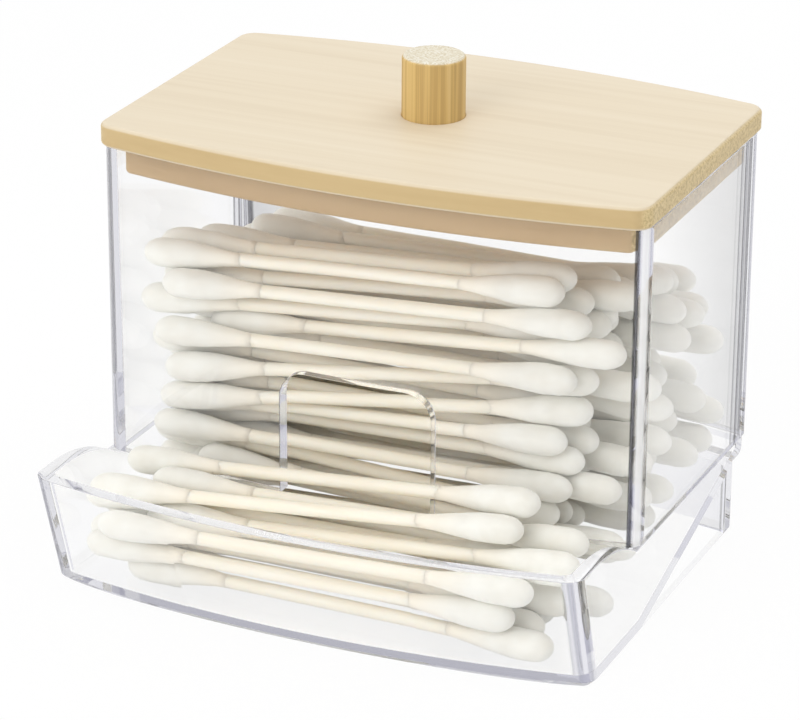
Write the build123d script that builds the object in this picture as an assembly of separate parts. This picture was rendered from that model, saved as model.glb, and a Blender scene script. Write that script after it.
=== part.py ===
from build123d import *
import math
import os
import random

# A clear box for cotton swabs: an upright hopper stands on a base that reaches forward
# as a scoop tray, and a wooden lid with a dowel knob closes the top.
# Millimetres. +Z up, -Y the front, the origin on the table under the middle of the
# whole box. Plans and profiles below are drawn about the hopper's own centre line.

# Swabs. Sticks and buds repeat many times, so their rounds are drawn with few sides.
SWAB_LENGTH = 73.0
SWAB_SIDES = 6
STICK_DIAMETER = 2.2
BUD_DIAMETER = 4.6
BUD_LENGTH = 16.0
BUD_NECK_DIAMETER = 2.8
BUD_NECK_LENGTH = 8.0
BUD_TIP_DIAMETER = 2.6
BUD_TIP_LENGTH = 3.4

# Hopper
SWAB_ROOM = 7.3
HOPPER_WALL = 2.4
HOPPER_WIDTH = SWAB_LENGTH + 2 * SWAB_ROOM + 2 * HOPPER_WALL
HOPPER_DEPTH = 60.4
HOPPER_HEIGHT = 52.4
FACE_RADIUS = 220.0
CORNER_RADIUS = 2.8
HOPPER_DRAFT_DEG = 0.4
NOTCH_WIDTH = 26.0
NOTCH_HEIGHT = 21.2
NOTCH_CORNER = 4.5

# Base
BASE_HEIGHT = 15.8
BASE_WALL = 2.4
BASE_BACK_INSET = 1.1
BASE_INNER_CORNER = 1.6
RIM_RISE = 5.1
RIM_FLAT = 6.0
TRAY_DEPTH = 25.2
FOOT_SET_BACK = 6.9
FLOOR_THICKNESS = 2.2
RAMP_DROP = 0.1
RAMP_ANGLE_DEG = 15.3
SHOULDER_SET_IN = 4.3
SHOULDER_HEIGHT = 4.6
SHOULDER_RADIUS = 2.7
SEAT_MARGIN = 0.3
FOOT_CHAMFER = 1.2

# Lid
LID_SIDE_OVERHANG = 0.3
LID_END_OVERHANG = 1.3
LID_CORNER = 3.2
LID_CHAMFER = 0.5
BOARD_THICKNESS = 3.8
PLUG_THICKNESS = 5.0
PLUG_CLEARANCE = 0.9
PLUG_CORNER = 1.2
PLUG_CHAMFER = 0.4
KNOB_DIAMETER = 10.2
KNOB_HEIGHT = 10.0
KNOB_SEAT_DEPTH = 2.0
KNOB_CHAMFER = 0.4

# The heap of swabs: its looseness, and the lines that its top keeps under
HEAP_SEED = 21
HEAP_HEADSPACE = 15.9
HEAP_SLOPE = 0.33
TRAY_HEAP_FRONT = 19.0
TRAY_HEAP_SLOPE = 0.7
SWAB_GAP = 0.12
WALL_GAP = 0.4
SWAB_END_ROOM = 1.5
SKEW_LIMIT = 0.085
TILT_LIMIT = 0.2
STATION_STEP = 3.0
LANE_STEP = 0.5
TRIES_PER_LANE = 8
PLACE_LOOSENESS = 1.0
TILT_FAVOUR = 14.0

HOPPER_TOP = BASE_HEIGHT + HOPPER_HEIGHT
INNER_WIDTH = HOPPER_WIDTH - 2 * HOPPER_WALL
LID_WIDTH = HOPPER_WIDTH + 2 * LID_SIDE_OVERHANG
LID_DEPTH = HOPPER_DEPTH + 2 * LID_END_OVERHANG
TRAY_REACH = HOPPER_DEPTH / 2 + TRAY_DEPTH
RIM_HEIGHT = BASE_HEIGHT + RIM_RISE
BACK_REACH = HOPPER_DEPTH / 2 - BASE_BACK_INSET
CENTRE_Y = (TRAY_REACH - LID_DEPTH / 2) / 2
OVERLAP = 15.0
DRAFT_REACH = HOPPER_HEIGHT * math.tan(math.radians(HOPPER_DRAFT_DEG))
RAMP_SLOPE = math.tan(math.radians(RAMP_ANGLE_DEG))
RAMP_STRETCH = math.hypot(1, RAMP_SLOPE)
RAMP_RISE = BASE_HEIGHT - RAMP_DROP - FLOOR_THICKNESS
RAMP_START = RAMP_RISE / RAMP_SLOPE - (BACK_REACH - BASE_WALL)
LEAN_STRETCH = math.hypot(1, FOOT_SET_BACK / RIM_HEIGHT)
STICK_LENGTH = SWAB_LENGTH - 2 * BUD_LENGTH
SHIFT_LIMIT = SWAB_ROOM - SWAB_END_ROOM
HEAP_TOP = HOPPER_TOP - HEAP_HEADSPACE
STATION_COUNT = math.ceil((SWAB_LENGTH / 2 + abs(SHIFT_LIMIT)) / STATION_STEP) + 1
STATIONS = [STATION_STEP * i for i in range(-STATION_COUNT, STATION_COUNT + 1)]


def face_line(reach, radius, x):
    """How far a bowed face stands from the centre plane at x, when its middle is at reach."""
    return reach - radius + math.sqrt(radius**2 - x**2)


def bowed_plan(width, front, back, radius, corner=0.0):
    """Plan with straight sides, front and back bowed outwards, and rounded corners."""
    half = width / 2
    front_corner = face_line(front, radius, half)
    back_corner = face_line(back, radius, half)
    outline = [
        ThreePointArc((-half, -front_corner), (0, -front), (half, -front_corner)),
        Line((half, -front_corner), (half, back_corner)),
        ThreePointArc((half, back_corner), (0, back), (-half, back_corner)),
        Line((-half, back_corner), (-half, -front_corner)),
    ]
    plan = make_face(outline)
    return fillet(plan.vertices(), corner) if corner else plan


def leaning_prism(width, front, back, radius, corner):
    """Endless prism on a bowed plan, leaning forward as the tray's front does."""
    upright = 1 / LEAN_STRETCH
    plan = bowed_plan(width, front * upright, back * upright, radius / upright, corner)
    lean = Plane((0, 0, 0), x_dir=(1, 0, 0), z_dir=(0, -FOOT_SET_BACK, RIM_HEIGHT))
    return extrude(lean * plan, amount=TRAY_REACH, both=True)


def side_prism(points, width):
    """Prism across the whole width over a closed outline of (y, z) points."""
    profile = make_face(Polyline(*[(0, y, z) for y, z in points], close=True))
    return extrude(profile, amount=width / 2, dir=(1, 0, 0), both=True)


def hopper():
    """Upright clear tube: bowed front and back, drafted bore, finger notch below in front."""
    half_depth = HOPPER_DEPTH / 2
    shell = Pos(0, 0, BASE_HEIGHT) * extrude(
        bowed_plan(HOPPER_WIDTH, half_depth, half_depth, FACE_RADIUS, CORNER_RADIUS),
        amount=HOPPER_HEIGHT,
    )
    inner_depth = half_depth - HOPPER_WALL
    mouth = bowed_plan(INNER_WIDTH, inner_depth, inner_depth, FACE_RADIUS - HOPPER_WALL)
    draft = extrude(mouth, amount=HOPPER_HEIGHT, taper=HOPPER_DRAFT_DEG)
    bore = Pos(0, 0, HOPPER_TOP) * Rot(180, 0, 0) * draft
    notch = RectangleRounded(NOTCH_WIDTH, 2 * NOTCH_HEIGHT, NOTCH_CORNER)
    notch_cut = Pos(0, 0, BASE_HEIGHT) * extrude(
        Plane.XZ * notch, amount=HOPPER_DEPTH
    )
    return shell - bore - notch_cut


def base_outer():
    """Outside of the base: upright behind, leaning forward to the tray's rim in front."""
    tray = leaning_prism(
        HOPPER_WIDTH, TRAY_REACH - FOOT_SET_BACK, OVERLAP, FACE_RADIUS, CORNER_RADIUS
    )
    skirt = extrude(
        bowed_plan(
            HOPPER_WIDTH, OVERLAP, BACK_REACH - SHOULDER_SET_IN, FACE_RADIUS, CORNER_RADIUS
        ),
        amount=BASE_HEIGHT,
    )
    shoulder = Pos(0, 0, BASE_HEIGHT - SHOULDER_HEIGHT) * extrude(
        bowed_plan(HOPPER_WIDTH, OVERLAP, BACK_REACH, FACE_RADIUS, CORNER_RADIUS),
        amount=SHOULDER_HEIGHT,
    )
    shoulder = fillet(
        shoulder.faces().sort_by(Axis.Z)[0].edges().sort_by(Axis.Y)[-3:], SHOULDER_RADIUS
    )
    outer = (tray & side_outline()) + skirt + shoulder
    return chamfer(outer.faces().sort_by(Axis.Z)[0].edges(), FOOT_CHAMFER)


def side_outline():
    """Side view of the base as a prism: level seat for the hopper, rim curving up in front."""
    seat_y = -face_line(HOPPER_DEPTH / 2, FACE_RADIUS, INNER_WIDTH / 2) - SEAT_MARGIN
    flat_y = -face_line(TRAY_REACH, FACE_RADIUS, HOPPER_WIDTH / 2) + RIM_FLAT
    front_y = -2 * TRAY_REACH
    outline = [
        TangentArc((0, flat_y, RIM_HEIGHT), (0, seat_y, BASE_HEIGHT), tangent=(0, 1, 0)),
        Line((0, seat_y, BASE_HEIGHT), (0, HOPPER_DEPTH, BASE_HEIGHT)),
        Line((0, HOPPER_DEPTH, BASE_HEIGHT), (0, HOPPER_DEPTH, 0)),
        Line((0, HOPPER_DEPTH, 0), (0, front_y, 0)),
        Line((0, front_y, 0), (0, front_y, RIM_HEIGHT)),
        Line((0, front_y, RIM_HEIGHT), (0, flat_y, RIM_HEIGHT)),
    ]
    return extrude(make_face(outline), amount=HOPPER_WIDTH, dir=(1, 0, 0), both=True)


def base_well():
    """Open space over the floor and the ramp, where the swabs lie."""
    radius = FACE_RADIUS - BASE_WALL
    back = BACK_REACH - BASE_WALL
    width = HOPPER_WIDTH - 2 * BASE_WALL
    foot = TRAY_REACH - FOOT_SET_BACK - BASE_WALL
    tray = leaning_prism(width, foot, OVERLAP, radius, BASE_INNER_CORNER)
    rear = extrude(
        bowed_plan(width, OVERLAP, back, radius, BASE_INNER_CORNER), amount=2 * RIM_HEIGHT
    )
    top = 3 * RIM_HEIGHT
    over_floor = side_prism(
        [
            (-2 * TRAY_REACH, FLOOR_THICKNESS),
            (-RAMP_START, FLOOR_THICKNESS),
            (HOPPER_DEPTH, floor_height(HOPPER_DEPTH)),
            (HOPPER_DEPTH, top),
            (-2 * TRAY_REACH, top),
        ],
        width,
    )
    return (tray + rear) & over_floor


def under_ramp():
    """Hollow under the ramp, open at the foot."""
    back = BACK_REACH - SHOULDER_SET_IN - BASE_WALL
    width = HOPPER_WIDTH - 2 * BASE_WALL
    plan = bowed_plan(width, 2 * OVERLAP, back, FACE_RADIUS - BASE_WALL, BASE_INNER_CORNER)
    wedge = side_prism(
        [
            (-RAMP_START, 0),
            (HOPPER_DEPTH, floor_height(HOPPER_DEPTH) - FLOOR_THICKNESS),
            (HOPPER_DEPTH, 0),
        ],
        width,
    )
    return extrude(plan, amount=BASE_HEIGHT) & wedge


def tray_base():
    """Clear base in one moulding: scoop tray, ramp, skirt and the seat for the hopper."""
    return base_outer() - base_well() - under_ramp()


def lid_board():
    """Wooden board that closes the hopper, its edges eased, drilled for the knob."""
    half_depth = LID_DEPTH / 2
    board = Pos(0, 0, HOPPER_TOP) * extrude(
        bowed_plan(LID_WIDTH, half_depth, half_depth, FACE_RADIUS, LID_CORNER),
        amount=BOARD_THICKNESS,
    )
    rims = board.faces().sort_by(Axis.Z)
    board = chamfer(rims[0].edges() + rims[-1].edges(), LID_CHAMFER)
    seat = Pos(0, 0, HOPPER_TOP + BOARD_THICKNESS - KNOB_SEAT_DEPTH) * Cylinder(
        KNOB_DIAMETER / 2, KNOB_SEAT_DEPTH, align=(Align.CENTER, Align.CENTER, Align.MIN)
    )
    return board - seat


def lid_plug():
    """Smaller board glued under the lid, which centres it in the hopper's mouth."""
    inset = HOPPER_WALL + PLUG_CLEARANCE
    half_depth = HOPPER_DEPTH / 2 - inset
    plan = bowed_plan(
        HOPPER_WIDTH - 2 * inset, half_depth, half_depth, FACE_RADIUS - inset, PLUG_CORNER
    )
    slab = Pos(0, 0, HOPPER_TOP - PLUG_THICKNESS) * extrude(plan, amount=PLUG_THICKNESS)
    return chamfer(slab.faces().sort_by(Axis.Z)[0].edges(), PLUG_CHAMFER)


def lid_knob():
    """Dowel knob standing in its drilled seat."""
    dowel = Cylinder(
        KNOB_DIAMETER / 2,
        KNOB_SEAT_DEPTH + KNOB_HEIGHT,
        align=(Align.CENTER, Align.CENTER, Align.MIN),
    )
    dowel = chamfer(dowel.faces().sort_by(Axis.Z)[-1].edges(), KNOB_CHAMFER)
    return Pos(0, 0, HOPPER_TOP + BOARD_THICKNESS - KNOB_SEAT_DEPTH) * dowel


def floor_height(y):
    """Upper surface of the floor and the ramp at y."""
    return FLOOR_THICKNESS + RAMP_SLOPE * max(0.0, y + RAMP_START)


def swab_radius(distance):
    """Largest radius of a swab near a distance from its middle, or None past its ends."""
    distance = abs(distance) + STATION_STEP / 2
    if distance > SWAB_LENGTH / 2 + STATION_STEP:
        return None
    swell = (distance - STICK_LENGTH / 2) / BUD_NECK_LENGTH
    if swell <= 0:
        return STICK_DIAMETER / 2
    neck, full = BUD_NECK_DIAMETER / 2, BUD_DIAMETER / 2
    return neck + (full - neck) * min(swell, 1.0)


class Swab:
    """One swab lying nearly along X: its middle, its skew in plan and its tilt."""

    def __init__(self, x, y, skew):
        self.x = x
        self.y = y
        self.z = 0.0
        self.skew = skew
        self.tilt = 0.0
        self.radii = [swab_radius(station - x) for station in STATIONS]
        self.line = [y + skew * (station - x) for station in STATIONS]
        self.heights = []

    def lift_to(self, heap):
        """Lowest height that clears the floor and the heap at each station."""
        props = []
        for i, station in enumerate(STATIONS):
            radius, y = self.radii[i], self.line[i]
            if radius is None:
                continue
            flat = FLOOR_THICKNESS + radius
            ramp = FLOOR_THICKNESS + RAMP_SLOPE * (y + RAMP_START) + radius * RAMP_STRETCH
            height = max(flat, ramp) + WALL_GAP
            for other in heap:
                if other.radii[i] is None:
                    continue
                reach = radius + other.radii[i] + SWAB_GAP
                aside = y - other.line[i]
                if abs(aside) < reach:
                    height = max(height, other.heights[i] + math.sqrt(reach**2 - aside**2))
            props.append((station, height))
        return props

    def settle(self, heap):
        """Rest on the two props, one on each side of the middle, that hold it highest."""
        props = self.lift_to(heap)
        lefts = [prop for prop in props if prop[0] <= self.x]
        rights = [prop for prop in props if prop[0] > self.x]
        self.z = 0.0
        for left_x, left_z in lefts:
            for right_x, right_z in rights:
                tilt = (right_z - left_z) / (right_x - left_x)
                middle = left_z + tilt * (self.x - left_x)
                if middle > self.z:
                    self.z, self.tilt = middle, tilt
        self.heights = [self.z + self.tilt * (station - self.x) for station in STATIONS]

    def rank(self):
        """Order of laying: the lowest and foremost first, and tilted ones before level ones."""
        return self.z + HEAP_SLOPE * self.y - TILT_FAVOUR * abs(self.tilt)

    def fits(self):
        """Whether it lies clear of the walls and under the top of the heap."""
        if abs(self.tilt) > TILT_LIMIT:
            return False
        for i, station in enumerate(STATIONS):
            if self.radii[i] is not None and not clear(
                station, self.line[i], self.heights[i], self.radii[i] + WALL_GAP
            ):
                return False
        return True


def clear(x, y, z, radius):
    """Whether a swab of that radius may pass through a point."""
    inner = face_line(HOPPER_DEPTH / 2 - HOPPER_WALL, FACE_RADIUS - HOPPER_WALL, x) - DRAFT_REACH
    outer = face_line(HOPPER_DEPTH / 2, FACE_RADIUS, x)
    if y + radius > inner:
        return False
    if y - radius > -inner:
        return z + radius < HEAP_TOP - HEAP_SLOPE * y
    lean = FOOT_SET_BACK * z / RIM_HEIGHT
    foot = TRAY_REACH - FOOT_SET_BACK - BASE_WALL
    front = face_line(foot, FACE_RADIUS - BASE_WALL, x) + lean
    if y - radius * LEAN_STRETCH < -front:
        return False
    if y + radius < -outer:
        return z + radius < TRAY_HEAP_FRONT + TRAY_HEAP_SLOPE * (y + foot)
    return z + radius < BASE_HEIGHT


def drop(y, heap, draw):
    """Best of a few tries to lay a swab along one lane, or None where none fits."""
    tries = []
    for _ in range(TRIES_PER_LANE):
        shift = draw.uniform(-SHIFT_LIMIT, SHIFT_LIMIT)
        swab = Swab(shift, y, draw.uniform(-SKEW_LIMIT, SKEW_LIMIT))
        swab.settle(heap)
        if swab.fits():
            tries.append(swab)
    return min(tries, key=Swab.rank, default=None)


def pile():
    """Fill the hopper and the tray, lane by lane from the lowest and foremost place up."""
    draw = random.Random(HEAP_SEED)
    lane_count = int((TRAY_REACH + HOPPER_DEPTH / 2) / LANE_STEP)
    lanes = [LANE_STEP * i - TRAY_REACH for i in range(lane_count)]
    heap = []
    waiting = {y: drop(y, heap, draw) for y in lanes}
    while any(waiting.values()):
        found = [swab for swab in waiting.values() if swab is not None]
        chosen = min(found, key=lambda swab: swab.rank() + draw.uniform(0, PLACE_LOOSENESS))
        heap.append(chosen)
        touched = BUD_DIAMETER + SKEW_LIMIT * SWAB_LENGTH
        for y in lanes:
            if abs(y - chosen.y) < touched:
                near = [swab for swab in heap if abs(swab.y - y) < touched]
                waiting[y] = drop(y, near, draw)
    return heap


def stick():
    """Paper stick between the two buds, about its own middle along Z."""
    section = RegularPolygon(STICK_DIAMETER / 2, SWAB_SIDES)
    return extrude(section, amount=STICK_LENGTH / 2, both=True)


def frustum(length, diameter, end_diameter):
    """Many-sided length of a bud up along Z, narrowing from one diameter to the other."""
    narrowing = (diameter - end_diameter) / 2 * math.cos(math.pi / SWAB_SIDES)
    taper = math.degrees(math.atan2(narrowing, length))
    return extrude(RegularPolygon(diameter / 2, SWAB_SIDES), amount=length, taper=taper)


def bud():
    """Cotton bud from its neck up to its rounded tip, along Z from the stick's end."""
    widest = STICK_LENGTH / 2 + BUD_NECK_LENGTH
    body_end = STICK_LENGTH / 2 + BUD_LENGTH - BUD_TIP_LENGTH
    neck = Rot(180, 0, 0) * frustum(BUD_NECK_LENGTH, BUD_DIAMETER, BUD_NECK_DIAMETER)
    body = frustum(body_end - widest, BUD_DIAMETER, BUD_DIAMETER)
    tip = frustum(BUD_TIP_LENGTH, BUD_DIAMETER, BUD_TIP_DIAMETER)
    return Pos(0, 0, widest) * (neck + body) + Pos(0, 0, body_end) * tip


def swab_groups(heap):
    """Sticks and buds of the whole heap, as two groups of separate solids."""
    one_stick, one_bud = stick(), bud()
    sticks, buds = [], []
    for swab in heap:
        along = Vector(1, swab.skew, swab.tilt)
        middle = (swab.x, swab.y, swab.z)
        sticks.append(Plane(middle, z_dir=along).location * one_stick)
        buds.append(Plane(middle, z_dir=along).location * one_bud)
        buds.append(Plane(middle, z_dir=-along).location * one_bud)
    return Compound(sticks), Compound(buds)


def export(node, shape):
    """Write one node, moved from the hopper's centre line to the box's own origin."""
    export_step(Pos(0, CENTRE_Y, 0) * shape, f"parts/{node}.step")


def main():
    os.makedirs("parts", exist_ok=True)
    export("hopper", hopper())
    export("tray_base", tray_base())
    export("lid_board", lid_board())
    export("lid_plug", lid_plug())
    export("lid_knob", lid_knob())
    sticks, buds = swab_groups(pile())
    export("swab_sticks", sticks)
    export("swab_buds", buds)


main()
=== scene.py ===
import math
import random

import bmesh
import bpy
from mathutils import Matrix, Vector, noise


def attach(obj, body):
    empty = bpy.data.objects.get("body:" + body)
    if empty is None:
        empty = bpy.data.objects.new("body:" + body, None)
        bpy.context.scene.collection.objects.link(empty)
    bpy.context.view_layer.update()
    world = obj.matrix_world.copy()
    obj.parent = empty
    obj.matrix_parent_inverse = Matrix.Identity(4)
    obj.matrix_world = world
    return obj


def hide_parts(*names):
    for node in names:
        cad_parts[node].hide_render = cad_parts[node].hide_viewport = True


# The looks of a clear swab dispenser with a wooden lid, in metres and in the CAD frame
MM = 0.001
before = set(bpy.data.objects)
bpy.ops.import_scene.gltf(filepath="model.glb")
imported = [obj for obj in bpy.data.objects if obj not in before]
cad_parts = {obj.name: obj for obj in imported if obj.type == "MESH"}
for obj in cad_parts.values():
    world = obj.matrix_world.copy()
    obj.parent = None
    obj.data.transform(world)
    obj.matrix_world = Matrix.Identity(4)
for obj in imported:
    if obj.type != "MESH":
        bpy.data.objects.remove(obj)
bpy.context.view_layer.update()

# The camera stands where the photograph's did
CAMERA_PLACE = Vector((0.2254, -0.50585, 0.2641))
CAMERA_YAW = math.radians(24.04)
CAMERA_PITCH = math.radians(22.54)
CAMERA_ROLL = math.radians(0.34)
CAMERA_LENS = 168.8
CAMERA_SENSOR = 36.0

# The room: a soft light all round, weaker from the right, two lamps and a white floor.
# A ray before its first scatter sees plain white in place of that light.
WORLD_LIGHT = 1.01
WORLD_DARKER_RIGHT = 0.45
FIRST_SCATTER = 0.5
LAMP_TARGET = Vector((0.0, 0.0, 0.03))
KEY_LAMP_PLACE = Vector((-0.20, -0.75, 0.42))
KEY_LAMP_SIZE = 0.6
KEY_LAMP_POWER = 2.3
TOP_LAMP_PLACE = Vector((0.2, 0.2, 0.9))
TOP_LAMP_SIZE = 0.8
TOP_LAMP_POWER = 3.3
FLOOR_REACH = 3.0
FLOOR_CELLS = 4
FLOOR_DROP = 0.2 * MM
FLOOR_COLOUR = (0.9, 0.9, 0.9, 1.0)
FLOOR_GLOW_SHARE = 0.93

# Clear plastic. A ray that has bounced more often than the depth counts as trapped in a wall.
PLASTIC_IOR = 1.49
PLASTIC_ABSORPTION = (0.86, 0.86, 0.88, 1.0)
PLASTIC_DENSITY = 24.0
SMUDGES = (55.0, 55.0, 55.0)
SMUDGE_DETAIL = 3.0
SMUDGE_ROUGHNESS = 0.03
TRAPPED_DEPTH = 4.5
TRAPPED_TINT = (0.88, 0.88, 0.91, 1.0)
# Where the painted edge shade begins, as a face turns edge on
RIM_START = 0.74

# Painted light: colours in place of what a corner or an edge of the plastic refracts and reflects of
# the room around the box, as painted dark lines, painted shade and a painted highlight
BLACK = (0.0, 0.0, 0.0)
WHITE = (1.0, 1.0, 1.0)
NO_TINT = (*WHITE, 1.0)
PAINTED_EDGE_SHADE = (0.22, 0.23, 0.26)
PAINTED_DARK_LINE = (0.05, 0.05, 0.06)
PAINTED_LILAC = (0.62, 0.62, 0.69)
GLARE = (0.75, 0.75, 0.75)

# Painted dark lines round the hopper's outer corners: stops from the front or back wall at 0 to the
# side wall at 1
HOPPER_CORNER_PAINTED_LINES = (
    (0.26, WHITE), (0.32, PAINTED_DARK_LINE), (0.50, PAINTED_DARK_LINE), (0.57, WHITE),
    (0.92, WHITE), (0.95, PAINTED_LILAC), (0.98, WHITE),
)
# Painted highlight: the share of the corner that is white and not clear
HOPPER_PAINTED_HIGHLIGHT = ((0.55, BLACK), (0.66, GLARE), (0.88, GLARE), (0.95, BLACK))

# Painted dark lines round the hopper's inner corners and painted tints and dark lines round the base's
# corners: stops from any wall at 0 to midway round its corner at 1
HOPPER_INNER_PAINTED_LINE = ((0.25, WHITE), (0.6, PAINTED_DARK_LINE))
BASE_FRONT_PAINTED_TINT = (
    (0.50, WHITE), (0.68, (0.50, 0.51, 0.56)), (0.85, (0.58, 0.58, 0.66)), (1.0, (0.74, 0.74, 0.83)),
)
BASE_BACK_PAINTED_LINE = ((0.30, WHITE), (0.42, PAINTED_LILAC), (0.50, PAINTED_DARK_LINE), (1.0, PAINTED_DARK_LINE))

# Painted dark stripes and painted shade in a band on the hopper's side walls, from its start at 0 to
# its end at the back at 1
SIDE_WALL_PAINTED_BAND = (
    (0.00, WHITE), (0.04, PAINTED_DARK_LINE), (0.09, PAINTED_DARK_LINE), (0.13, (0.60, 0.60, 0.65)),
    (0.40, (0.68, 0.68, 0.73)), (0.45, PAINTED_DARK_LINE), (0.49, WHITE), (0.55, WHITE),
    (0.59, PAINTED_DARK_LINE), (0.64, (0.42, 0.42, 0.48)), (1.0, (0.46, 0.46, 0.53)),
)
BACK_BAND_START = 30.0 * MM
BACK_BAND_END = 37.1 * MM

# Where this painted light and shade sets in: round a corner, on a side wall and towards the base's
# back. The painted corner lines are weaker on the left corners than on the right ones, with the change
# in the middle of the box.
CORNER_START = 0.45
CORNER_FULL = 0.55
SIDE_WALL_START = 0.88
SIDE_WALL_FULL = 0.93
BASE_BACK_START = 30.0 * MM
LEFT_CORNER_STRENGTH = 0.2
MIDDLE_HALF_WIDTH = 1.0 * MM

# Wood: the grain is in waves per metre along each axis, and the broad grain is a share of it
PLANK_GRAIN = (10.0, 420.0, 420.0)
DOWEL_GRAIN = (1100.0, 1100.0, 8.0)
BROAD_GRAIN = 0.09
BROAD_SHARE = 0.55
GRAIN_DETAIL = 5.0
BROAD_DETAIL = 2.0
PORE_DETAIL = 3.0
GRAIN_FINENESS = 0.6
PORE_FINENESS = 0.7
GRAIN_BUMP = 0.25
GRAIN_DEPTH = 0.04 * MM
END_GRAIN_STOPS = (0.36, 0.5, 0.62)
END_GRAIN_START = 0.55
END_GRAIN_FULL = 0.8
ROUGHNESS_SPREAD = 0.2

# Cotton and paper
COTTON_FIBRES = (260.0, 900.0, 900.0)
COTTON_FIBRE_DETAIL = 5.0
COTTON_FIBRE_FINENESS = 0.65
COTTON_CLUMPS = (260.0, 260.0, 260.0)
COTTON_CLUMP_DETAIL = 3.0
COTTON_BUMP = 0.4
COTTON_FUZZ_HEIGHT = 0.1 * MM
PAPER_LAYERS = (60.0, 700.0, 700.0)
PAPER_DETAIL = 3.0
PAPER_BUMP = 0.3
PAPER_LAYER_HEIGHT = 0.04 * MM

# Swabs, finer than their plain solids. The buds' lumps are layers of noise, each with its
# waves per metre and its weight, and their cover is how thickly cotton hides the stick.
BUD_LENGTH = 17.5 * MM
BUD_OVERLAP = 1.5 * MM
BUD_RADIUS = 2.6 * MM
BUD_SLIMMEST = 0.93
BUD_NECK_RADIUS = 1.14 * MM
BUD_NECK_LENGTH = 12.5 * MM
BUD_NECK_SWELL = 0.8
BUD_TIP_LENGTH = 3.6 * MM
BUD_TIP_ROUNDNESS = 2.2
BUD_SIDES = 20
BUD_RINGS = 18
BUD_RING_CROWDING = 1.5
BUD_LAST_RING = 0.999
BUD_LUMPS = ((420.0, 0.5), (1100.0, 0.25))
BUD_LUMP_HEIGHT = 0.09
BUD_LUMP_BASE = 0.955
LUMP_DRIFT = 100
COVER = "cotton_cover"
COVER_LENGTH = 8.0 * MM
STICK_SHOWING = (0.93, 0.86, 0.73, 1.0)
STICK_RADIUS = 1.1 * MM
STICK_SIDES = 14
STICK_RINGS = 9
STICK_BOW = 0.12 * MM
STICK_REACH = 3.0 * MM
SWAB_SEED = 21

# Soft edges of the mouldings and the lid
WELD = 0.002 * MM
FLAT_ANGLE = math.radians(0.5)
SHARP_ANGLE = math.radians(30)
EDGE_STEPS = 3
ROUND_PROFILE = 0.5
PLASTIC_SOFT_EDGE = 0.5 * MM
WOOD_SOFT_EDGE = 0.2 * MM


def new_object(name, data):
    made = bpy.data.objects.new(name, data)
    bpy.context.scene.collection.objects.link(made)
    return made


def mesh_from(bm, name):
    """The mesh of a finished bmesh, which is freed."""
    mesh = bpy.data.meshes.new(name)
    bm.normal_update()
    bm.to_mesh(mesh)
    bm.free()
    return mesh


def material(name):
    """An empty material and its node tree."""
    made = bpy.data.materials.new(name)
    made.use_nodes = True
    made.node_tree.nodes.clear()
    return made, made.node_tree


def shader_output(tree, shader):
    output = tree.nodes.new("ShaderNodeOutputMaterial")
    tree.links.new(shader.outputs[0], output.inputs["Surface"])
    return output


def mix_shader(tree, factor, first, second):
    mix = tree.nodes.new("ShaderNodeMixShader")
    tree.links.new(factor, mix.inputs["Fac"])
    tree.links.new(first.outputs[0], mix.inputs[1])
    tree.links.new(second.outputs[0], mix.inputs[2])
    return mix


def feed(tree, value, socket):
    """A socket takes another node's output, or a plain number or colour."""
    if isinstance(value, bpy.types.NodeSocket):
        tree.links.new(value, socket)
    else:
        socket.default_value = value


def mix_number(tree, factor, first, second):
    """Mix of two numbers. A Mix node keeps them at other sockets than two colours."""
    mix = tree.nodes.new("ShaderNodeMix")
    for index, value in ((0, factor), (2, first), (3, second)):
        feed(tree, value, mix.inputs[index])
    return mix.outputs[0]


def mix_colour(tree, factor, first, second, blend="MIX"):
    mix = tree.nodes.new("ShaderNodeMix")
    mix.data_type = "RGBA"
    mix.blend_type = blend
    for index, value in ((0, factor), (6, first), (7, second)):
        feed(tree, value, mix.inputs[index])
    return mix.outputs[2]


def tinted(tree, first, second):
    """The product of two colours."""
    return mix_colour(tree, 1.0, first, second, "MULTIPLY")


def calculate(tree, operation, *values):
    """One step of arithmetic on sockets and numbers."""
    made = tree.nodes.new("ShaderNodeMath")
    made.operation = operation
    for socket, value in zip(made.inputs, values):
        feed(tree, value, socket)
    return made.outputs[0]


def map_range(tree, value, low, high, start=0.0, end=1.0):
    """Value carried over from the range start to end into the range low to high."""
    made = tree.nodes.new("ShaderNodeMapRange")
    made.inputs["From Min"].default_value = start
    made.inputs["From Max"].default_value = end
    made.inputs["To Min"].default_value = low
    made.inputs["To Max"].default_value = high
    tree.links.new(value, made.inputs["Value"])
    return made.outputs["Result"]


def ramp(tree, value, stops):
    """Colour ramp over (position, colour) stops."""
    made = tree.nodes.new("ShaderNodeValToRGB")
    elements = made.color_ramp.elements
    while len(elements) < len(stops):
        elements.new(0.5)
    for element, (position, colour) in zip(elements, stops):
        element.position = position
        element.color = (*colour, 1.0)
    tree.links.new(value, made.inputs["Fac"])
    return made.outputs["Color"]


def noise_over(tree, waves, detail, fineness=0.5):
    """Noise over the piece, with so many waves per metre along each axis."""
    place = tree.nodes.new("ShaderNodeTexCoord").outputs["Object"]
    mapping = tree.nodes.new("ShaderNodeMapping")
    mapping.inputs["Scale"].default_value = waves
    tree.links.new(place, mapping.inputs["Vector"])
    texture = tree.nodes.new("ShaderNodeTexNoise")
    texture.inputs["Scale"].default_value = 1.0
    texture.inputs["Detail"].default_value = detail
    texture.inputs["Roughness"].default_value = fineness
    tree.links.new(mapping.outputs["Vector"], texture.inputs["Vector"])
    return texture.outputs["Fac"]


def bump(tree, height, strength, distance):
    made = tree.nodes.new("ShaderNodeBump")
    made.inputs["Strength"].default_value = strength
    made.inputs["Distance"].default_value = distance
    tree.links.new(height, made.inputs["Height"])
    return made.outputs["Normal"]


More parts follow.
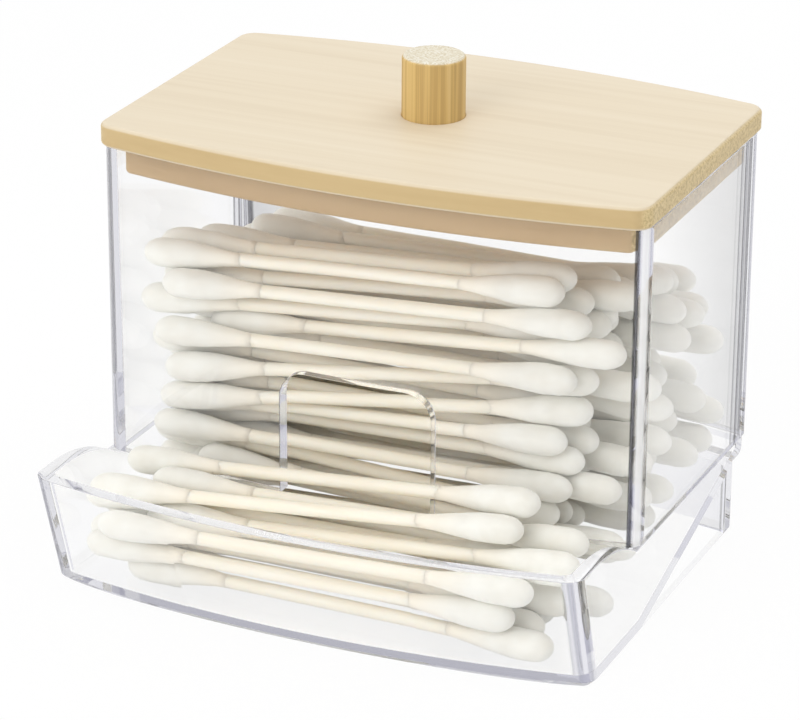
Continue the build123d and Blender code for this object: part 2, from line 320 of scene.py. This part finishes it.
def coordinate(tree, kind):
    """The X, Y and Z of a texture coordinate, such as the place on the piece in metres."""
    whole = tree.nodes.new("ShaderNodeTexCoord").outputs[kind]
    split = tree.nodes.new("ShaderNodeSeparateXYZ")
    tree.links.new(whole, split.inputs[0])
    return split.outputs


def corner_share(tree, normal):
    """Nought on the walls and on level edges, one midway round an upright corner."""
    product = calculate(tree, "MULTIPLY", normal["X"], normal["Y"])
    return calculate(tree, "MULTIPLY", calculate(tree, "ABSOLUTE", product), 2.0)


def base_painted_light(tree):
    """Colour and clearness of the base, all painted light: a painted lilac tint round the front
    corners, painted dark lines round the back ones.
    """
    share = corner_share(tree, coordinate(tree, "Normal"))
    front = ramp(tree, share, BASE_FRONT_PAINTED_TINT)
    back = ramp(tree, share, BASE_BACK_PAINTED_LINE)
    place = coordinate(tree, "Object")
    behind = calculate(tree, "GREATER_THAN", place["Y"], BASE_BACK_START)
    return mix_colour(tree, behind, front, back), 1.0


def hopper_painted_light(tree):
    """Colour and clearness of the hopper, all painted light: painted dark lines and a painted highlight
    round its corners, and painted dark stripes and shade on its sides.
    """
    normal = coordinate(tree, "Normal")
    place = coordinate(tree, "Object")
    turn = calculate(tree, "ABSOLUTE", normal["X"])
    share = corner_share(tree, normal)

    left, middle = LEFT_CORNER_STRENGTH, MIDDLE_HALF_WIDTH
    strength = map_range(tree, place["X"], left, 1.0, -middle, middle)
    rounding = map_range(tree, share, 0.0, 1.0, CORNER_START, CORNER_FULL)
    corner = calculate(tree, "MULTIPLY", rounding, strength)
    outer = mix_colour(tree, corner, NO_TINT, ramp(tree, turn, HOPPER_CORNER_PAINTED_LINES))

    outward = calculate(tree, "MULTIPLY", place["X"], normal["X"])
    inward = calculate(tree, "LESS_THAN", outward, 0.0)
    inner_corner = calculate(tree, "MULTIPLY", share, inward)
    inner = ramp(tree, inner_corner, HOPPER_INNER_PAINTED_LINE)

    along = map_range(tree, place["Y"], 0.0, 1.0, BACK_BAND_START, BACK_BAND_END)
    on_side = map_range(tree, turn, 0.0, 1.0, SIDE_WALL_START, SIDE_WALL_FULL)
    band = mix_colour(tree, on_side, NO_TINT, ramp(tree, along, SIDE_WALL_PAINTED_BAND))

    colour = tinted(tree, tinted(tree, inner, outer), band)
    # Painted highlight: a white share of each corner that is not clear
    painted_highlight = calculate(tree, "MULTIPLY", corner, ramp(tree, turn, HOPPER_PAINTED_HIGHLIGHT))
    return colour, calculate(tree, "SUBTRACT", 1.0, painted_highlight)


def clear_plastic(name, tones):
    """Clear moulding. Lamps, scattered light and rays long trapped in a wall pass it unbent."""
    made, tree = material(name)
    shader = tree.nodes.new("ShaderNodeBsdfPrincipled")
    shader.inputs["IOR"].default_value = PLASTIC_IOR
    # Painted shade: seen edge on, the plastic's colour is darkened towards grey, in place of the dark
    # room that its edges refract
    facing = tree.nodes.new("ShaderNodeLayerWeight").outputs["Facing"]
    rim = map_range(tree, facing, 0.0, 1.0, RIM_START, 1.0)
    edge = ramp(tree, rim, ((0.0, WHITE), (1.0, PAINTED_EDGE_SHADE)))
    # The painted lines, tints and highlight of each moulding set its colour and how clear it is
    colour, clearness = tones(tree)
    tree.links.new(tinted(tree, edge, colour), shader.inputs["Base Color"])
    feed(tree, clearness, shader.inputs["Transmission Weight"])
    smudges = noise_over(tree, SMUDGES, SMUDGE_DETAIL)
    tree.links.new(map_range(tree, smudges, 0.0, SMUDGE_ROUGHNESS), shader.inputs["Roughness"])

    path = tree.nodes.new("ShaderNodeLightPath").outputs
    trapped = calculate(tree, "GREATER_THAN", path["Ray Depth"], TRAPPED_DEPTH)
    leaving = tree.nodes.new("ShaderNodeBsdfTransparent")
    leaving.inputs["Color"].default_value = TRAPPED_TINT
    seen = mix_shader(tree, trapped, shader, leaving)
    lighting = calculate(tree, "MAXIMUM", path["Is Shadow Ray"], path["Is Diffuse Ray"])
    passing = tree.nodes.new("ShaderNodeBsdfTransparent")
    output = shader_output(tree, mix_shader(tree, lighting, seen, passing))

    volume = tree.nodes.new("ShaderNodeVolumeAbsorption")
    volume.inputs["Color"].default_value = PLASTIC_ABSORPTION
    volume.inputs["Density"].default_value = PLASTIC_DENSITY
    tree.links.new(volume.outputs[0], output.inputs["Volume"])
    return made


def end_grain_share(tree, axis):
    """One where the surface faces along the grain's own axis, nought where it runs beside it."""
    facing = calculate(tree, "ABSOLUTE", coordinate(tree, "Normal")[axis])
    return map_range(tree, facing, 0.0, 1.0, END_GRAIN_START, END_GRAIN_FULL)


def wood(name, axis, grain, pores, tones, spread, painted_upright_shade, end_tones, roughness):
    """Sanded wood: streaks along one axis, painted shade that makes its upright faces darker and richer
    than its top, and pores on its end grain.
    """
    made, tree = material(name)
    shader = tree.nodes.new("ShaderNodeBsdfPrincipled")
    fine = noise_over(tree, grain, GRAIN_DETAIL, GRAIN_FINENESS)
    broad_grain = [waves * BROAD_GRAIN for waves in grain]
    broad = noise_over(tree, broad_grain, BROAD_DETAIL, GRAIN_FINENESS)
    streaks = ramp(tree, fine, tuple(zip((0.5 - spread, 0.5, 0.5 + spread), tones)))
    tint = ramp(tree, broad, ((0.3, tones[1]), (0.7, tones[2])))
    plank = mix_colour(tree, BROAD_SHARE, streaks, tint)

    # Painted sheen and shade: the top keeps the lighter streaks and the upright faces are tinted darker
    # and richer, in place of the sheen that the light gives the top
    level = calculate(tree, "ABSOLUTE", coordinate(tree, "Normal")["Z"])
    painted_shade = ramp(tree, level, ((0.3, painted_upright_shade), (0.8, WHITE)))
    side = tinted(tree, plank, painted_shade)

    dots = noise_over(tree, (pores, pores, pores), PORE_DETAIL, PORE_FINENESS)
    ends = ramp(tree, dots, tuple(zip(END_GRAIN_STOPS, end_tones)))
    share = end_grain_share(tree, axis)
    tree.links.new(mix_colour(tree, share, side, ends), shader.inputs["Base Color"])
    uneven = map_range(tree, fine, roughness, roughness + ROUGHNESS_SPREAD)
    tree.links.new(uneven, shader.inputs["Roughness"])
    tree.links.new(bump(tree, fine, GRAIN_BUMP, GRAIN_DEPTH), shader.inputs["Normal"])
    shader_output(tree, shader)
    return made


def cotton():
    """Wound cotton, which lets the stick's colour through where its cover is thin."""
    made, tree = material("cotton")
    shader = tree.nodes.new("ShaderNodeBsdfPrincipled")
    shader.inputs["Roughness"].default_value = 0.95
    shader.inputs["Sheen Weight"].default_value = 0.25
    shader.inputs["Subsurface Weight"].default_value = 0.35
    shader.inputs["Subsurface Radius"].default_value = (1.0, 0.95, 0.9)
    shader.inputs["Subsurface Scale"].default_value = 1.2 * MM
    fibres = noise_over(tree, COTTON_FIBRES, COTTON_FIBRE_DETAIL, COTTON_FIBRE_FINENESS)
    clumps = noise_over(tree, COTTON_CLUMPS, COTTON_CLUMP_DETAIL)
    wound = ramp(tree, clumps, ((0.3, (0.83, 0.81, 0.74)), (0.65, (0.89, 0.88, 0.82))))
    cover = tree.nodes.new("ShaderNodeAttribute")
    cover.attribute_name = COVER
    colour = mix_colour(tree, cover.outputs["Fac"], STICK_SHOWING, wound)
    tree.links.new(colour, shader.inputs["Base Color"])
    fuzz = calculate(tree, "ADD", fibres, clumps)
    tree.links.new(bump(tree, fuzz, COTTON_BUMP, COTTON_FUZZ_HEIGHT), shader.inputs["Normal"])
    shader_output(tree, shader)
    return made


def paper():
    """Rolled paper, with its layers as fine streaks along the sticks."""
    made, tree = material("paper")
    shader = tree.nodes.new("ShaderNodeBsdfPrincipled")
    shader.inputs["Roughness"].default_value = 0.6
    shader.inputs["Subsurface Weight"].default_value = 0.5
    shader.inputs["Subsurface Radius"].default_value = (1.0, 0.85, 0.7)
    shader.inputs["Subsurface Scale"].default_value = 1.5 * MM
    layers = noise_over(tree, PAPER_LAYERS, PAPER_DETAIL)
    colour = ramp(tree, layers, ((0.3, (0.92, 0.84, 0.70)), (0.7, (0.96, 0.90, 0.79))))
    tree.links.new(colour, shader.inputs["Base Color"])
    tree.links.new(bump(tree, layers, PAPER_BUMP, PAPER_LAYER_HEIGHT), shader.inputs["Normal"])
    shader_output(tree, shader)
    return made


def welded(node):
    """A CAD node's mesh as a bmesh whose faces share their corners."""
    bm = bmesh.new()
    bm.from_mesh(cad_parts[node].data)
    bmesh.ops.remove_doubles(bm, verts=bm.verts, dist=WELD)
    return bm


def loose_parts(node):
    """Vertex places of each separate solid in a CAD node, found by walking along its edges."""
    bm = welded(node)
    seen, parts = set(), []
    for start in bm.verts:
        if start in seen:
            continue
        seen.add(start)
        stack, part = [start], []
        while stack:
            vertex = stack.pop()
            part.append(vertex.co.copy())
            for edge in vertex.link_edges:
                other = edge.other_vert(vertex)
                if other not in seen:
                    seen.add(other)
                    stack.append(other)
        parts.append(part)
    bm.free()
    return parts


def stick_ends():
    """Left and right end of every stick, from the plain sticks of the frame."""
    ends = []
    for part in loose_parts("swab_sticks"):
        part.sort(key=lambda point: point.x)
        half = len(part) // 2
        left = sum(part[:half], Vector()) / half
        right = sum(part[half:], Vector()) / (len(part) - half)
        ends.append((left, right))
    return ends


def across(axis):
    """Two directions square to an axis and to each other."""
    side = axis.cross(Vector((0, 0, 1))).normalized()
    return side, axis.cross(side).normalized()


def around(axis, count):
    """Directions square to an axis, in equal steps round it."""
    side, other = across(axis)
    turns = [math.tau * k / count for k in range(count)]
    return [side * math.cos(turn) + other * math.sin(turn) for turn in turns]


def add_rings(bm, rings):
    """Skin over rings of points, with capped ends. Returns the rings' vertices."""
    loops = [[bm.verts.new(point) for point in ring] for ring in rings]
    for first, second in zip(loops, loops[1:]):
        count = len(first)
        for i in range(count):
            j = (i + 1) % count
            face = bm.faces.new((first[i], first[j], second[j], second[i]))
            face.smooth = True
    bm.faces.new(list(reversed(loops[0])))
    bm.faces.new(loops[-1])
    return loops


def bud_radius(along, full):
    """Radius of a bud at a distance from its inner end: a slow swell and a rounded tip."""
    tip_start = BUD_LENGTH - BUD_TIP_LENGTH
    if along > tip_start:
        past = (along - tip_start) / BUD_TIP_LENGTH
        return full * math.sqrt(max(0.0, 1 - past**BUD_TIP_ROUNDNESS))
    share = min(along / BUD_NECK_LENGTH, 1.0)
    swell = (0.5 - 0.5 * math.cos(math.pi * share)) ** BUD_NECK_SWELL
    return BUD_NECK_RADIUS + (full - BUD_NECK_RADIUS) * swell


def lump(point, drift):
    """Unevenness of the wound cotton at a point. The drift makes it another one for each bud."""
    return sum(noise.noise(point * scale + drift) * weight for scale, weight in BUD_LUMPS)


def add_bud(bm, cover, root, axis, draw):
    """One wound cotton bud, a little uneven all over, and thin where it runs out on the stick."""
    full = BUD_RADIUS * draw.uniform(BUD_SLIMMEST, 1.0)
    drift = Vector([draw.uniform(0, LUMP_DRIFT) for _ in range(3)])
    outward = around(axis, BUD_SIDES)
    rings = []
    for i in range(BUD_RINGS + 1):
        share = i / BUD_RINGS
        along = BUD_LENGTH * (1 - (1 - share) ** BUD_RING_CROWDING) * BUD_LAST_RING
        radius = bud_radius(along, full)
        ring = []
        for out in outward:
            point = root + axis * along + out * radius
            swelling = BUD_LUMP_BASE + BUD_LUMP_HEIGHT * lump(point, drift)
            ring.append(root + axis * along + out * radius * swelling)
        rings.append(ring)
    for ring in add_rings(bm, rings):
        for vertex in ring:
            vertex[cover] = min(1.0, (vertex.co - root).dot(axis) / COVER_LENGTH)


def add_stick(bm, left, right, draw):
    """One rolled paper stick, very slightly bent, reaching into both buds."""
    axis = (right - left).normalized()
    side, other = across(axis)
    bow = (side * draw.uniform(-1, 1) + other * draw.uniform(-1, 1)) * STICK_BOW
    outward = around(axis, STICK_SIDES)
    rings = []
    for i in range(STICK_RINGS):
        share = i / (STICK_RINGS - 1)
        straight = left.lerp(right, share) + axis * STICK_REACH * (2 * share - 1)
        centre = straight + bow * math.sin(math.pi * share)
        rings.append([centre + out * STICK_RADIUS for out in outward])
    add_rings(bm, rings)


def build_swabs():
    """All sticks as one piece and all buds as another, on the places of the plain ones."""
    draw = random.Random(SWAB_SEED)
    sticks, buds = bmesh.new(), bmesh.new()
    cover = buds.verts.layers.float.new(COVER)
    for left, right in stick_ends():
        axis = (right - left).normalized()
        add_stick(sticks, left, right, draw)
        add_bud(buds, cover, left + axis * BUD_OVERLAP, -axis, draw)
        add_bud(buds, cover, right - axis * BUD_OVERLAP, axis, draw)
    stick_piece = new_object("paper_sticks", mesh_from(sticks, "paper_sticks"))
    bud_piece = new_object("cotton_buds", mesh_from(buds, "cotton_buds"))
    stick_piece.data.materials.append(paper())
    bud_piece.data.materials.append(cotton())
    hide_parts("swab_sticks")
    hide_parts("swab_buds")
    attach(stick_piece, "box")
    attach(bud_piece, "box")


def smooth_normals(mesh):
    """Shade softly over small faces, while large flat ones stay flat."""
    sums = [Vector() for _ in mesh.vertices]
    for polygon in mesh.polygons:
        for vertex in polygon.vertices:
            sums[vertex] += polygon.normal * polygon.area
    mesh.normals_split_custom_set_from_vertices([total.normalized() for total in sums])


def softened(node, name, edge_size):
    """A CAD node's own form, with its hard edges rounded and its curves smoothed."""
    bm = welded(node)
    bmesh.ops.dissolve_limit(
        bm, angle_limit=FLAT_ANGLE, verts=bm.verts, edges=bm.edges, use_dissolve_boundaries=False
    )
    hard = [
        edge for edge in bm.edges if len(edge.link_faces) == 2 and edge.calc_face_angle() > SHARP_ANGLE
    ]
    bmesh.ops.bevel(
        bm, geom=hard, offset=edge_size, segments=EDGE_STEPS, profile=ROUND_PROFILE,
        affect="EDGES", clamp_overlap=True,
    )
    for face in bm.faces:
        face.smooth = True
    piece = new_object(name, mesh_from(bm, name))
    smooth_normals(piece.data)
    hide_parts(node)
    return piece


def build_plastic():
    for node, name, tones in (
        ("hopper", "hopper_shell", hopper_painted_light),
        ("tray_base", "scoop_base", base_painted_light),
    ):
        piece = softened(node, name, PLASTIC_SOFT_EDGE)
        piece.data.materials.append(clear_plastic(name + "_plastic", tones))
        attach(piece, "box")


def board_wood():
    return wood(
        "board_wood",
        axis="X",
        grain=PLANK_GRAIN,
        pores=2400.0,
        tones=((0.66, 0.55, 0.39), (0.73, 0.63, 0.47), (0.77, 0.68, 0.53)),
        spread=0.18,
        # Painted shade on the board's upright faces, darker and richer than its top
        painted_upright_shade=(0.79, 0.67, 0.44),
        end_tones=((0.50, 0.37, 0.18), (0.67, 0.52, 0.26), (0.76, 0.60, 0.33)),
        roughness=0.4,
    )


def plug_wood():
    return wood(
        "plug_wood",
        axis="X",
        grain=PLANK_GRAIN,
        pores=1800.0,
        tones=((0.41, 0.26, 0.11), (0.51, 0.34, 0.17), (0.56, 0.40, 0.21)),
        spread=0.18,
        painted_upright_shade=WHITE,
        end_tones=((0.40, 0.28, 0.12), (0.59, 0.43, 0.20), (0.70, 0.53, 0.28)),
        roughness=0.5,
    )


def knob_wood():
    return wood(
        "knob_wood",
        axis="Z",
        grain=DOWEL_GRAIN,
        pores=3200.0,
        tones=((0.34, 0.19, 0.04), (0.64, 0.43, 0.14), (0.75, 0.54, 0.24)),
        spread=0.1,
        painted_upright_shade=WHITE,
        end_tones=((0.56, 0.48, 0.33), (0.72, 0.66, 0.51), (0.80, 0.77, 0.69)),
        roughness=0.5,
    )


def build_lid():
    for node, name, timber in (
        ("lid_board", "wooden_lid", board_wood()),
        ("lid_plug", "wooden_plug", plug_wood()),
        ("lid_knob", "dowel_knob", knob_wood()),
    ):
        piece = softened(node, name, WOOD_SOFT_EDGE)
        piece.data.materials.append(timber)
        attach(piece, "lid")


def build_floor():
    """A floor that looks white to the camera and in the plastic, and still takes the box's shadow."""
    bm = bmesh.new()
    bmesh.ops.create_grid(bm, x_segments=FLOOR_CELLS, y_segments=FLOOR_CELLS, size=FLOOR_REACH)
    floor = new_object("floor", mesh_from(bm, "floor"))
    floor.location.z = -FLOOR_DROP
    made, tree = material("floor_white")
    diffuse = tree.nodes.new("ShaderNodeBsdfDiffuse")
    diffuse.inputs["Color"].default_value = FLOOR_COLOUR
    glow = tree.nodes.new("ShaderNodeEmission")
    path = tree.nodes.new("ShaderNodeLightPath").outputs
    mirrored = calculate(tree, "ADD", path["Is Glossy Ray"], path["Is Transmission Ray"])
    seen = calculate(tree, "ADD", path["Is Camera Ray"], mirrored)
    share = calculate(tree, "MULTIPLY", seen, FLOOR_GLOW_SHARE)
    shader_output(tree, mix_shader(tree, share, diffuse, glow))
    floor.data.materials.append(made)


def build_world():
    """White behind the box, and a soft light on it that is weaker from the right."""
    world = bpy.data.worlds.new("studio")
    bpy.context.scene.world = world
    world.use_nodes = True
    tree = world.node_tree
    tree.nodes.clear()
    path = tree.nodes.new("ShaderNodeLightPath").outputs
    direct = calculate(tree, "LESS_THAN", path["Diffuse Depth"], FIRST_SCATTER)
    bent = calculate(tree, "MAXIMUM", path["Is Glossy Ray"], path["Is Transmission Ray"])
    through = calculate(tree, "MULTIPLY", bent, direct)
    seen = calculate(tree, "MAXIMUM", path["Is Camera Ray"], through)
    direction = coordinate(tree, "Generated")
    right_light = WORLD_LIGHT * (1 - WORLD_DARKER_RIGHT)
    soft = map_range(tree, direction["X"], WORLD_LIGHT, right_light)
    backdrop = tree.nodes.new("ShaderNodeBackground")
    tree.links.new(mix_number(tree, seen, soft, 1.0), backdrop.inputs["Strength"])
    output = tree.nodes.new("ShaderNodeOutputWorld")
    tree.links.new(backdrop.outputs[0], output.inputs["Surface"])


def add_lamp(name, place, size, power):
    lamp = bpy.data.lights.new(name, "AREA")
    lamp.size = size
    lamp.energy = power
    holder = new_object(name, lamp)
    holder.location = place
    holder.rotation_euler = (LAMP_TARGET - place).to_track_quat("-Z", "Y").to_euler()


def build_camera():
    data = bpy.data.cameras.new("photo_view")
    data.lens = CAMERA_LENS
    data.sensor_width = CAMERA_SENSOR
    data.sensor_fit = "HORIZONTAL"
    camera = new_object("photo_view", data)
    turn = Matrix.Rotation(CAMERA_YAW, 4, "Z") @ Matrix.Rotation(math.pi / 2 - CAMERA_PITCH, 4, "X")
    camera.matrix_world = Matrix.Translation(CAMERA_PLACE) @ turn @ Matrix.Rotation(CAMERA_ROLL, 4, "Z")
    bpy.context.scene.camera = camera


build_camera()
build_swabs()
build_plastic()
build_lid()
build_floor()
build_world()
add_lamp("key", KEY_LAMP_PLACE, KEY_LAMP_SIZE, KEY_LAMP_POWER)
add_lamp("top", TOP_LAMP_PLACE, TOP_LAMP_SIZE, TOP_LAMP_POWER)
bpy.context.scene.view_settings.view_transform = "Standard"
